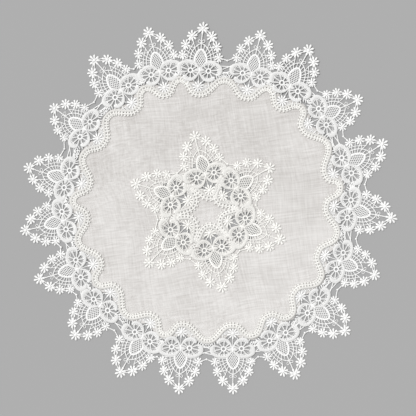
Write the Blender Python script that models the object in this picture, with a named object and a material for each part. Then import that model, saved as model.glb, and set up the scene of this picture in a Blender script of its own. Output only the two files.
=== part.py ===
"""Round linen tablecloth with a guipure lace edging and a six-pointed lace star, lying flat.

The cloth is three sewn pieces, each one closed solid:
  linen_ground  a round of linen, cut to the wave of the lace heading and cut out in six
                windows behind the star
  lace_edging   a ring of 19 pointed scallops; its wavy heading lies on the linen, and past
                the linen's edge the lace drops to the surface below
  lace_star     six scallops of the same lace in a ring, points outwards, on top of the linen

Every scallop is the same motif, drawn once in its own frame: u runs across it, v runs out
from its knot, where its two wings meet, to its tip. The two tables say where each scallop
sits. The object's origin is at the middle of the cloth, on the surface it lies on.
"""

import math
from collections import namedtuple

import bmesh
import bpy
from mathutils import Vector
from mathutils.geometry import delaunay_2d_cdt

# Sizes below are in millimetres and degrees; the meshes are made in metres.
MM = 0.001

LINEN_THICKNESS = 1.0
LACE_THICKNESS = 1.2
CLEARANCE = 0.3  # between pieces that lie on each other
LACE_ON_LINEN = LINEN_THICKNESS + CLEARANCE  # underside of the lace where linen is below it
DROP_STARTS = 0.7  # past the linen's edge, where the lace begins to bend down
DROP_ENDS = 4.0  # past the linen's edge, where the lace is down on the surface

HEADING_WIDTH = 6.0
STEPS = (-0.78, -0.42, 0.0, 0.42, 0.78)  # where a wavy line is drawn, as parts of its half span
LINEN_DEPTHS = (7.6, 10.2, 17.0, 10.2, 7.6)  # how deep behind the knot the linen ends there
LINEN_VALLEY = 5.8  # the same half way between two scallops

USUAL_REACH = 43.0  # from a knot to the tip's star, which each row below stretches a little
LINK_WIDTH = 3.0
SMALLEST_GAP = 8.0  # square millimetres; smaller gaps in the lace are filled
OUTLINE_STEP = 0.8  # outline points nearer to their neighbours' line than half this are left out
SAME_POINT = 0.05

STAR_CORNERS = 6
FLOWER_CORNERS = 6
WING_CORNERS = 10
WINDOW_CORNERS = 14

# Where a scallop sits. bearing is clockwise from +Y; knot is its knot's distance from the
# middle; lean turns the scallop clockwise off the radius; reach is from its knot to its
# tip's star; linen_past is how much further out than usual the linen ends below it.
Scallop = namedtuple("Scallop", "bearing knot lean reach linen_past")

EDGING = (
    Scallop(356.5, 147.0, 8.0, 45.5, 0.0),
    Scallop(18.0, 149.5, -5.0, 43.0, 2.0),
    Scallop(34.0, 156.0, -7.0, 44.0, 0.0),
    Scallop(51.5, 156.5, 13.0, 42.0, 0.5),
    Scallop(73.0, 155.0, -14.0, 44.5, 1.0),
    Scallop(90.5, 151.0, 11.5, 45.5, 0.0),
    Scallop(112.0, 152.0, -0.5, 40.0, 1.0),
    Scallop(133.0, 153.5, -5.5, 43.5, 0.5),
    Scallop(151.5, 156.5, 3.5, 44.0, -1.0),
    Scallop(170.0, 153.0, 9.5, 42.0, 0.5),
    Scallop(191.0, 152.0, -8.5, 43.5, 1.5),
    Scallop(207.0, 154.5, 5.0, 44.5, 0.5),
    Scallop(228.0, 154.5, -8.0, 42.0, 0.0),
    Scallop(245.0, 153.0, 10.0, 42.5, -0.5),
    Scallop(265.0, 154.5, -9.5, 42.0, 0.0),
    Scallop(281.5, 154.0, 5.0, 42.0, 0.5),
    Scallop(302.5, 156.0, 2.0, 39.5, 0.0),
    Scallop(323.5, 155.0, -5.0, 44.0, -0.5),
    Scallop(340.5, 153.5, 4.0, 44.0, -1.5),
)

STAR = (
    Scallop(355.5, 35.5, -11.0, 42.5, 0.0),
    Scallop(54.5, 37.0, 4.5, 41.5, 0.0),
    Scallop(118.0, 42.0, -9.0, 42.5, 0.0),
    Scallop(172.5, 44.0, -5.0, 42.5, 0.0),
    Scallop(228.0, 45.0, -2.0, 41.0, 0.0),
    Scallop(289.0, 39.5, -0.5, 41.5, 0.0),
)

# The round flowers on a scallop's edge, on its right side; the tip's is on the middle.
EdgeStar = namedtuple("EdgeStar", "u v radius")
TIP_STAR = EdgeStar(0.0, 43.0, 6.0)
SIDE_STARS = (
    EdgeStar(10.7, 34.0, 5.8),
    EdgeStar(16.5, 24.5, 5.3),
    EdgeStar(20.2, 13.5, 4.9),
)
FLOWER = EdgeStar(0.0, -16.8, 6.6)  # between the wings and the heading

Oval = namedtuple("Oval", "u v half_width half_height")
WING = Oval(14.6, 1.2, 11.4, 8.4)
STAR_WING = Oval(12.4, 1.2, 9.6, 8.2)  # the star's scallops stand closer, so wings are narrower
WINDOW = Oval(0.0, -0.5, 16.5, 17.0)  # cut out of the linen behind a scallop of the star
WINDOW_TAPER = 0.45  # how much narrower a window is at its inner end
KNOT_HALF_WIDTH = 4.0
KNOT_ENDS = (-11.5, 7.0)

# A wavy heading: valley is how deep it lies behind the line between two knots, depth how much
# deeper the bottom of a U is. A U rises from the first part of its half span to the second,
# and past squares_from it turns square to the line between the knots.
Heading = namedtuple("Heading", "valley depth rises_from rises_to squares_from")
EDGING_HEADING = Heading(8.0, 17.0, 0.15, 0.92, 0.0)
STAR_HEADING = Heading(0.5, 24.5, 0.1, 1.25, 0.75)


def place(scallop, u, v):
    """A motif point (u, v) as a point of the cloth; the part past the knot is stretched to reach."""
    if v > 0.0:
        v *= scallop.reach / USUAL_REACH
    bearing = math.radians(scallop.bearing)
    heading = math.radians(scallop.bearing + scallop.lean)
    knot = Vector((math.sin(bearing), math.cos(bearing))) * scallop.knot
    across = Vector((math.cos(heading), -math.sin(heading)))
    outwards = Vector((math.sin(heading), math.cos(heading)))
    return knot + across * u + outwards * v


def round_outline(scallop, u, v, half_width, half_height, corners):
    """Corners of an oval about (u, v) in the motif's frame, placed on the cloth."""
    turn = 2.0 * math.pi / corners
    return [
        place(scallop, u + half_width * math.cos(k * turn), v + half_height * math.sin(k * turn))
        for k in range(corners)
    ]


def window_outline(scallop):
    """The linen window behind one scallop of the star, narrower towards the middle of the cloth."""
    turn = 2.0 * math.pi / WINDOW_CORNERS
    outline = []
    for k in range(WINDOW_CORNERS):
        rise = math.sin(k * turn)
        taper = 1.0 - WINDOW_TAPER * max(0.0, -rise)
        u = WINDOW.u + WINDOW.half_width * taper * math.cos(k * turn)
        outline.append(place(scallop, u, WINDOW.v + WINDOW.half_height * rise))
    return outline


def smooth(share):
    """A smooth rise from 0 to 1 while share goes from 0 to 1."""
    share = max(0.0, min(1.0, share))
    return share * share * (3.0 - 2.0 * share)


def wavy_line(scallops, depths, valley, squares_from):
    """A closed wavy line behind the knots: five points on each scallop and one in each valley.

    depths holds five depths for each scallop. A scallop's part reaches half way to the knots
    beside it.
    """
    knots = [place(scallop, 0.0, 0.0) for scallop in scallops]
    line = []
    for index, scallop in enumerate(scallops):
        for part, depth in zip(STEPS + (1.0,), tuple(depths[index]) + (valley,)):
            beside = knots[index - 1] if part < 0.0 else knots[(index + 1) % len(knots)]
            across = beside - knots[index]
            half_span = across.length / 2.0
            inwards = Vector((across.y, -across.x)).normalized()
            if inwards.dot(knots[index]) > 0.0:
                inwards = -inwards
            own = place(scallop, half_span * part, -depth)
            square = knots[index] + across * (abs(part) / 2.0) + inwards * depth
            line.append(own.lerp(square, smooth((abs(part) - squares_from) / (1.0 - squares_from))))
    return line


def heading_line(scallops, heading):
    """Points along the middle of a ring's heading."""

    def depth_at(part):
        rise = heading.rises_to - heading.rises_from
        return heading.valley + heading.depth * smooth((heading.rises_to - abs(part)) / rise)

    depths = [[depth_at(part) for part in STEPS]] * len(scallops)
    return wavy_line(scallops, depths, depth_at(1.0), heading.squares_from)


def offset_closed(line, distances):
    """A closed line that runs clockwise, moved outwards by one distance a point."""
    count = len(line)
    moved = []
    for i, distance in enumerate(distances):
        along = (line[(i + 1) % count] - line[i - 1]).normalized()
        moved.append(line[i] + Vector((-along.y, along.x)) * distance)
    return moved


def strips(line, half_width):
    """Overlapping four-sided pieces that cover a band along a closed line."""
    inner = offset_closed(line, [-half_width] * len(line))
    outer = offset_closed(line, [half_width] * len(line))
    return [
        [inner[i - 1], inner[i], outer[i], outer[i - 1]] for i in range(len(line))
    ]


def bar(start, end, half_width):
    """The four corners of a straight bar."""
    side = (end - start).normalized().orthogonal() * half_width
    return [start - side, end - side, end + side, start + side]


def motif_shapes(scallop, wing):
    """The overlapping outlines that make one scallop, without its heading."""
    shapes = []
    stars = [TIP_STAR] + [
        EdgeStar(side * s.u, s.v, s.radius) for side in (1, -1) for s in SIDE_STARS
    ]
    for star in stars:
        shapes.append(
            round_outline(scallop, star.u, star.v, star.radius, star.radius, STAR_CORNERS)
        )
    fan = [(0.0, 0.0)] + [(s.u, s.v) for s in reversed(SIDE_STARS)]
    fan += [(TIP_STAR.u, TIP_STAR.v)] + [(-s.u, s.v) for s in SIDE_STARS]
    shapes.append([place(scallop, u, v) for u, v in fan])
    for side in (1, -1):
        shapes.append(
            round_outline(
                scallop, side * wing.u, wing.v, wing.half_width, wing.half_height, WING_CORNERS
            )
        )
    shapes.append(
        round_outline(scallop, FLOWER.u, FLOWER.v, FLOWER.radius, FLOWER.radius, FLOWER_CORNERS)
    )
    low, high = KNOT_ENDS
    knot = [(-1, low), (1, low), (1, high), (-1, high)]
    shapes.append([place(scallop, side * KNOT_HALF_WIDTH, v) for side, v in knot])
    return shapes


def link(scallop, following):
    """The bar between the last stars of two scallops that stand side by side."""
    last = SIDE_STARS[-1]
    start = place(scallop, last.u, last.v)
    end = place(following, -last.u, last.v)
    return bar(start, end, LINK_WIDTH / 2.0)


def lace_shapes(scallops, wing, heading):
    """Every overlapping outline of a ring of lace."""
    shapes = strips(heading, HEADING_WIDTH / 2.0)
    for index, scallop in enumerate(scallops):
        shapes += motif_shapes(scallop, wing)
        shapes.append(link(scallop, scallops[(index + 1) % len(scallops)]))
    return shapes


def area_of(loop):
    """Signed area of a closed line of 2-D points."""
    return 0.5 * sum(
        loop[i - 1].x * loop[i].y - loop[i].x * loop[i - 1].y for i in range(len(loop))
    )


def boundary_of(triangles):
    """The directed edges that only one triangle uses."""
    edges = {}
    for triangle in triangles:
        for i in range(3):
            edge = (triangle[i - 1], triangle[i])
            if (edge[1], edge[0]) in edges:
                del edges[(edge[1], edge[0])]
            else:
                edges[edge] = True
    return list(edges)


def loops_of(edges, points):
    """Directed edges joined end to end as closed lines of points."""
    onwards = {}
    for start, end in edges:
        onwards.setdefault(start, []).append(end)
    loops = []
    while onwards:
        first = next(iter(onwards))
        loop, here = [], first
        while True:
            loop.append(points[here])
            ends = onwards[here]
            following = ends.pop()
            if not ends:
                del onwards[here]
            here = following
            if here == first:
                break
        loops.append(loop)
    return loops


def thinned(loop):
    """A closed line without the points that lie nearly straight between their neighbours."""
    loop = list(loop)
    removed = True
    while removed and len(loop) > 4:
        removed = False
        i = 0
        while i < len(loop) and len(loop) > 4:
            before, here, after = loop[i - 1], loop[i], loop[(i + 1) % len(loop)]
            across = after - before
            if across.length < SAME_POINT:
                distance = 0.0
            else:
                distance = abs(across.cross(here - before)) / across.length
            if distance < OUTLINE_STEP / 2.0 or (here - before).length < OUTLINE_STEP:
                del loop[i]
                removed = True
            i += 1
    return loop


def in_any(shapes, point):
    """Whether a point lies in one of the closed outlines."""
    return any(
        min(c.x for c in shape) < point.x < max(c.x for c in shape)
        and min(c.y for c in shape) < point.y < max(c.y for c in shape)
        and inside([shape], point)
        for shape in shapes
    )


def triangulated(points, edges, faces):
    """(corners, triangles) of the plane round the points, which keep to the edges and faces."""
    every_triangle = 0
    merged_within = 1e-4
    made = delaunay_2d_cdt(points, edges, faces, every_triangle, merged_within)
    return made[0], made[2]


def middle_of(corners, triangle):
    """The middle of a triangle."""
    return sum((corners[i] for i in triangle), Vector((0.0, 0.0))) / 3.0


def union_loops(shapes):
    """Outlines of the area that the shapes cover together, the outer one and its gaps."""
    points, faces = [], []
    for shape in shapes:
        ordered = shape if area_of(shape) > 0.0 else shape[::-1]
        faces.append(list(range(len(points), len(points) + len(ordered))))
        points += ordered
    corners, triangles = triangulated(points, [], faces)
    covered = [t for t in triangles if in_any(shapes, middle_of(corners, t))]
    loops = [thinned(loop) for loop in loops_of(boundary_of(covered), corners)]
    return [loop for loop in loops if abs(area_of(loop)) > SMALLEST_GAP]


def inside(loops, point):
    """Whether a point lies in the area between closed lines, by counting the lines it crosses."""
    found = False
    for loop in loops:
        for i in range(len(loop)):
            a, b = loop[i - 1], loop[i]
            if (a.y > point.y) != (b.y > point.y):
                x = a.x + (point.y - a.y) * (b.x - a.x) / (b.y - a.y)
                found ^= point.x < x
    return found


def distance_past(outline, point):
    """How far a point lies outside a closed outline, or 0 within it."""
    if inside([outline], point):
        return 0.0
    nearest = math.inf
    for i in range(len(outline)):
        a, b = outline[i - 1], outline[i]
        along = b - a
        t = max(0.0, min(1.0, (point - a).dot(along) / along.length_squared))
        nearest = min(nearest, (point - a - along * t).length)
    return nearest


def sheet_object(name, loops, creases, underside, thickness, material):
    """One closed solid: the area between loops, from its underside up by its thickness.

    creases are closed lines along which the underside may bend; underside gives its height
    at a point.
    """
    points, edges = [], []
    for line in list(loops) + list(creases):
        first = len(points)
        points += line
        edges += [(first + i, first + (i + 1) % len(line)) for i in range(len(line))]
    corners, triangles = triangulated(points, edges, [])
    kept = [t for t in triangles if inside(loops, middle_of(corners, t))]
    model = bmesh.new()
    below, above = {}, {}
    for index in sorted({corner for t in kept for corner in t}):
        x, y = corners[index]
        z = underside(corners[index])
        below[index] = model.verts.new((x * MM, y * MM, z * MM))
        above[index] = model.verts.new((x * MM, y * MM, (z + thickness) * MM))
    for a, b, c in kept:
        model.faces.new((above[a], above[b], above[c]))
        model.faces.new((below[c], below[b], below[a]))
    for a, b in boundary_of(kept):
        model.faces.new((below[a], below[b], above[b], above[a]))
    bmesh.ops.recalc_face_normals(model, faces=model.faces)
    mesh = bpy.data.meshes.new(name)
    model.to_mesh(mesh)
    model.free()
    mesh.materials.append(material)
    made = bpy.data.objects.new(name, mesh)
    bpy.context.scene.collection.objects.link(made)
    return made


def cloth_material(name, colour, roughness):
    """A plain woven or stitched finish."""
    material = bpy.data.materials.new(name)
    material.use_nodes = True
    shader = material.node_tree.nodes["Principled BSDF"]
    shader.inputs["Base Color"].default_value = (*colour, 1.0)
    shader.inputs["Roughness"].default_value = roughness
    shader.inputs["Metallic"].default_value = 0.0
    return material


def linen_outline():
    """The linen's cut edge: past the heading in its valleys, and notched behind each knot."""
    middle = STEPS.index(0.0)
    depths = []
    for scallop in EDGING:
        row = list(LINEN_DEPTHS)
        row[middle] -= scallop.linen_past
        depths.append(row)
    return wavy_line(EDGING, depths, LINEN_VALLEY, EDGING_HEADING.squares_from)


def build():
    """Clears the scene and makes the three pieces."""
    for old in list(bpy.data.objects):
        bpy.data.objects.remove(old, do_unlink=True)

    linen = cloth_material("natural_linen", (0.72, 0.69, 0.66), 0.9)
    lace = cloth_material("white_lace_thread", (0.86, 0.85, 0.82), 0.75)

    linen_edge = linen_outline()
    windows = [window_outline(scallop) for scallop in STAR]
    sheet_object(
        "linen_ground", [linen_edge] + windows, [], lambda point: 0.0, LINEN_THICKNESS, linen
    )

    def edging_underside(point):
        past = distance_past(linen_edge, point)
        fall = (past - DROP_STARTS) / (DROP_ENDS - DROP_STARTS)
        return LACE_ON_LINEN * (1.0 - max(0.0, min(1.0, fall)))

    creases = [
        offset_closed(linen_edge, [distance] * len(linen_edge))
        for distance in (DROP_STARTS, DROP_ENDS)
    ]
    heading = heading_line(EDGING, EDGING_HEADING)
    edging_loops = union_loops(lace_shapes(EDGING, WING, heading))
    sheet_object(
        "lace_edging", edging_loops, creases, edging_underside, LACE_THICKNESS, lace
    )

    star_heading = heading_line(STAR, STAR_HEADING)
    star_loops = union_loops(lace_shapes(STAR, STAR_WING, star_heading))
    sheet_object(
        "lace_star", star_loops, [], lambda point: LACE_ON_LINEN, LACE_THICKNESS, lace
    )


build()
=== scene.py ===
"""Looks of a round linen tablecloth with white guipure lace, lying flat on a pale floor.

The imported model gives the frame: the cloth lies on z = 0 with its middle at the origin, +Y
towards the top scallop. Three sewn pieces are dressed here:

  linen    one closed sheet of slubby linen with a cut edge and six windows
  edging   19 scallops of lace, each laid from one stitched motif, with a wavy ladder heading
  star     six scallops of the same lace in a ring on top of the linen

The motif is drawn once in its own frame: u runs across it, v runs out from its knot to its
tip, and w is its height above whatever it lies on. Lengths are millimetres until a mesh is
made, and metres from there on.
"""

import logging
import math
from dataclasses import dataclass, replace
from enum import Enum
from functools import cached_property
from typing import Callable, Iterable, Sequence

import bpy
import numpy as np
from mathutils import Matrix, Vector
from mathutils.geometry import delaunay_2d_cdt


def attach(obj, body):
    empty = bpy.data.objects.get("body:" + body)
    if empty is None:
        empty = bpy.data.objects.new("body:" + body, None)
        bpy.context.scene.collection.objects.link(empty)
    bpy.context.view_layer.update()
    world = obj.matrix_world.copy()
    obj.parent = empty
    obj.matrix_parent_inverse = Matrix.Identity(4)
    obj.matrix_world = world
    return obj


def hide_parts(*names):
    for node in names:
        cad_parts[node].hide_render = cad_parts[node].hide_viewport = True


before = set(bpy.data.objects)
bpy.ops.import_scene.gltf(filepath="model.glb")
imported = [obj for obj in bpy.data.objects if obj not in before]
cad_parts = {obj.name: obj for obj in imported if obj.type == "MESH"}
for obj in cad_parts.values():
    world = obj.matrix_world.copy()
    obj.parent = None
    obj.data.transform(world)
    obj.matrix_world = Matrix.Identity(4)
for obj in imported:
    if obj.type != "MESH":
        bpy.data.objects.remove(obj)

Array = np.ndarray
Floats = tuple[float, ...]
Point = Sequence[float]
Points = Sequence[Sequence[float]]
Material = bpy.types.Material
Socket = bpy.types.NodeSocket

LOG = logging.getLogger("tablecloth")
MM = 0.001
MIRRORED = np.array([-1.0, 1.0])
BOTH_SIDES = (np.array([1.0, 1.0]), MIRRORED)
USUAL_REACH = 43.0

# A straight cord has a ring of points about every STRAIGHT_STEP. A cord's half height is
# THIN_CORD of its half width, but no more than WIDE_CORD[0] and WIDE_CORD[1] of it. Its ends
# reach out by END_REACH of its half width, where it has END_SIZE of its size.
STRAIGHT_STEP = 2.4
THIN_CORD = 0.7
WIDE_CORD = (0.3, 0.11)
END_REACH = 0.7
END_SIZE = 0.5


# --- Lines on the cloth ---


def smooth_through(points: Points, step: float) -> Array:
    """A smooth open curve through points of any number of columns, sampled about every step.

    Args:
        points: rows that start with u and v.
        step: the distance between samples.

    Returns:
        The curve's rows. They pass through every given one.
    """
    known = np.asarray(points, float)
    padded = np.vstack([2 * known[0] - known[1], known, 2 * known[-1] - known[-2]])
    samples = []
    for before, start, end, after in zip(padded, padded[1:], padded[2:], padded[3:]):
        count = max(1, round(float(np.linalg.norm((end - start)[:2])) / step))
        t = (np.arange(count) / count)[:, None]
        bend = (2 * before - 5 * start + 4 * end - after) * t**2
        swing = (3 * start - before - 3 * end + after) * t**3
        samples.append(0.5 * (2 * start + (end - before) * t + bend + swing))
    return np.vstack([*samples, known[-1:]])


def round_again(line: Array) -> Array:
    """A closed line with its first point once more at its end."""
    return np.vstack([line, line[:1]])


def lengths_along(line: Array) -> Array:
    """The distance along an open line to each of its points."""
    return np.concatenate([[0.0], np.cumsum(np.linalg.norm(np.diff(line[:, :2], axis=0), axis=1))])


def evenly(line: Array, step: float, closed: bool = False) -> Array:
    """A line sampled again about every step. A closed one doesn't repeat its first sample.

    Args:
        line: its rows, which start with u and v.
        step: the distance between samples.
        closed: whether it returns to its first point.

    Returns:
        The samples, as rows like the line's.
    """
    ends = round_again(line) if closed else line
    along = lengths_along(ends)
    wanted = np.linspace(0.0, along[-1], max(2, round(along[-1] / step)) + 1)
    if closed:
        wanted = wanted[:-1]
    return np.column_stack([np.interp(wanted, along, ends[:, k]) for k in range(line.shape[1])])


def softened(line: Array, passes: int) -> Array:
    """A closed line with its corners rounded by that many small averaging passes.

    Args:
        line: its points.
        passes: how often each point is drawn towards its neighbours.

    Returns:
        The softer line, with as many points.
    """
    for _ in range(passes):
        line = 0.25 * np.roll(line, 1, axis=0) + 0.5 * line + 0.25 * np.roll(line, -1, axis=0)
    return line


def left_of(line: Array, closed: bool = False) -> Array:
    """The unit vector to the left of a line at each of its points.

    Args:
        line: its points.
        closed: whether it returns to its first point.

    Returns:
        One unit vector a point.
    """
    if closed:
        along = np.roll(line, -1, axis=0) - np.roll(line, 1, axis=0)
    else:
        along = np.gradient(line, axis=0)
    along = along / np.maximum(np.linalg.norm(along, axis=1, keepdims=True), 1e-9)
    return np.column_stack([-along[:, 1], along[:, 0]])


def within(outline: Array, points: Array) -> Array:
    """Whether each point lies inside a closed outline, by the crossings of a level ray.

    Args:
        outline: its points, the first one not repeated.
        points: the points in question.

    Returns:
        One truth value a point.
    """
    found = np.zeros(len(points), bool)
    x, y = points[:, 0], points[:, 1]
    left, low, high = x.min(), y.min(), y.max()
    for a, b in zip(np.roll(outline, 1, axis=0), outline):
        beside = max(a[0], b[0]) < left or max(a[1], b[1]) < low or min(a[1], b[1]) > high
        if beside or a[1] == b[1]:
            continue
        crosses = (a[1] > y) != (b[1] > y)
        found ^= crosses & (x < a[0] + (y - a[1]) * (b[0] - a[0]) / (b[1] - a[1]))
    return found


def distance_to(outline: Array, points: Array, reach: float) -> Array:
    """The distance from each point to a closed outline, or reach where that is less.

    Args:
        outline: its points, the first one not repeated.
        points: where the distance is wanted.
        reach: the distance past which it doesn't matter.

    Returns:
        One distance a point.
    """
    nearest = np.full(len(points), reach)
    low, high = points.min(axis=0) - reach, points.max(axis=0) + reach
    for a, b in zip(np.roll(outline, 1, axis=0), outline):
        if (np.maximum(a, b) < low).any() or (np.minimum(a, b) > high).any():
            continue
        side = b - a
        t = np.clip(((points - a) @ side) / float(side @ side), 0.0, 1.0)
        nearest = np.minimum(nearest, np.linalg.norm(points - a - t[:, None] * side, axis=1))
    return nearest


def first_crossing(start: Array, towards: Array, lines: Iterable[Array]) -> Array | None:
    """Where a ray first meets one of some open lines.

    Args:
        start: the ray's first point.
        towards: its direction.
        lines: the lines it may meet.

    Returns:
        The nearest meeting point, or None.
    """
    best, found = math.inf, None
    for line in lines:
        for a, b in zip(line[:-1, :2], line[1:, :2]):
            side, gap = b - a, a - start
            cross = towards[0] * side[1] - towards[1] * side[0]
            if abs(cross) < 1e-9:
                continue
            far = (gap[0] * side[1] - gap[1] * side[0]) / cross
            share = (gap[0] * towards[1] - gap[1] * towards[0]) / cross
            if 0.0 <= share <= 1.0 and 1e-6 < far < best:
                best, found = far, start + towards * far
    return found


def smoothstep(t: Array) -> Array:
    """0 up to t = 0, 1 from t = 1, and a smooth rise between."""
    t = np.clip(t, 0.0, 1.0)
    return t * t * (3.0 - 2.0 * t)


def heading_of(degrees: float) -> Array:
    """The unit vector at that angle from +u (or +X), turning left."""
    return np.array([math.cos(math.radians(degrees)), math.sin(math.radians(degrees))])


# --- Thread and stitches ---


class Lay(Enum):
    """How thread is laid on a cord: its second coordinate where a turn starts and where it ends."""

    TWISTED = (0.0, 1.0)
    SATIN = (2.0, 2.0)


@dataclass(frozen=True)
class Shape:
    """A mesh in millimetres, with each face corner's place along and round the thread."""

    points: Array
    faces: list[tuple[int, ...]]
    thread: Array

    def piece(self, name: str, material: Material) -> bpy.types.Object:
        """The shape as an object of its own, smooth, in metres, in the scene.

        Args:
            name: the object's name.
            material: its only material.

        Returns:
            The object, at the origin.
        """
        mesh = bpy.data.meshes.new(name)
        mesh.from_pydata((self.points * MM).tolist(), [], self.faces)
        layer = mesh.uv_layers.new(name="thread")
        layer.data.foreach_set("uv", self.thread.astype(np.float32).ravel())
        mesh.polygons.foreach_set("use_smooth", np.ones(len(mesh.polygons), bool))
        mesh.materials.append(material)
        mesh.update()
        made = bpy.data.objects.new(name, mesh)
        bpy.context.scene.collection.objects.link(made)
        return made


def deselect_all() -> None:
    """Leaves nothing selected and nothing active."""
    bpy.ops.object.select_all(action="DESELECT")
    bpy.context.view_layer.objects.active = None


def as_stitch(stretches: Sequence[tuple[Callable[[Vector], bool], Point]], shift: Point) -> Shape:
    """Takes the active object out of the scene as a stitch, with its thread across its length.

    Args:
        stretches: tests that pick some of its points, each with the factors that stretch them.
        shift: how far all of it is moved afterwards.

    Returns:
        The stitch's shape.
    """
    stitch = bpy.context.object
    mesh = stitch.data
    for picked, factors in stretches:
        bpy.ops.object.mode_set(mode="EDIT")
        bpy.ops.mesh.select_mode(type="VERT")
        bpy.ops.mesh.select_all(action="DESELECT")
        bpy.ops.object.mode_set(mode="OBJECT")
        for vertex in mesh.vertices:
            vertex.select = picked(vertex.co)
        bpy.ops.object.mode_set(mode="EDIT")
        bpy.ops.transform.resize(value=factors, center_override=(0.0, 0.0, 0.0))
        bpy.ops.object.mode_set(mode="OBJECT")
    points = np.array([vertex.co for vertex in mesh.vertices], float) + shift
    faces = [tuple(polygon.vertices) for polygon in mesh.polygons]
    corners = np.concatenate(faces)
    thread = np.column_stack([points[corners, 0], np.zeros(len(corners))])
    bpy.data.objects.remove(stitch, do_unlink=True)
    bpy.data.meshes.remove(mesh)
    return Shape(points, faces, thread)


@dataclass(frozen=True)
class StitchBox:
    """The padded stitches that repeat all over the lace, each modelled once at unit size."""

    petal: Shape
    button: Shape
    bead: Shape
    ring: Shape

    @classmethod
    def filled(cls) -> "StitchBox":
        """A box with the four stitches."""
        deselect_all()
        return cls(cls._petal(), cls._dome(10, 5, 0.8), cls._dome(6, 4, 0.9), cls._ring())

    @staticmethod
    def _petal() -> Shape:
        """A petal from the origin to u = 1, blunt, widest past its middle, narrow at its root.

        Returns:
            The stitch.
        """
        bpy.ops.mesh.primitive_uv_sphere_add(
            segments=8, ring_count=7, radius=0.5, rotation=(0.0, math.pi / 2, 0.0)
        )
        bpy.ops.object.transform_apply(location=False, rotation=True, scale=False)
        stretches = (
            (lambda co: co.x < -0.05, (1.0, 0.7, 0.85)),
            (lambda co: co.x < -0.3, (1.0, 0.75, 0.9)),
            (lambda co: co.x > 0.25, (1.0, 1.28, 1.1)),
        )
        return as_stitch(stretches, (0.5, 0.0, 0.5))

    @staticmethod
    def _dome(segments: int, rings: int, narrowing: float) -> Shape:
        """A small padded dome of unit width that stands on w = 0, narrower towards its top."""
        bpy.ops.mesh.primitive_uv_sphere_add(segments=segments, ring_count=rings, radius=0.5)
        return as_stitch([(lambda co: co.z > 0.2, (narrowing, narrowing, 1.0))], (0.0, 0.0, 0.5))

    @staticmethod
    def _ring() -> Shape:
        """A buttonhole ring of outer radius 1 on w = 0, its top pressed a little flatter.

        Returns:
            The stitch.
        """
        bpy.ops.mesh.primitive_torus_add(
            major_segments=18, minor_segments=6, major_radius=0.72, minor_radius=0.28
        )
        return as_stitch([(lambda co: co.z > 0.2, (1.0, 1.0, 0.85))], (0.0, 0.0, 0.28))


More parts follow.
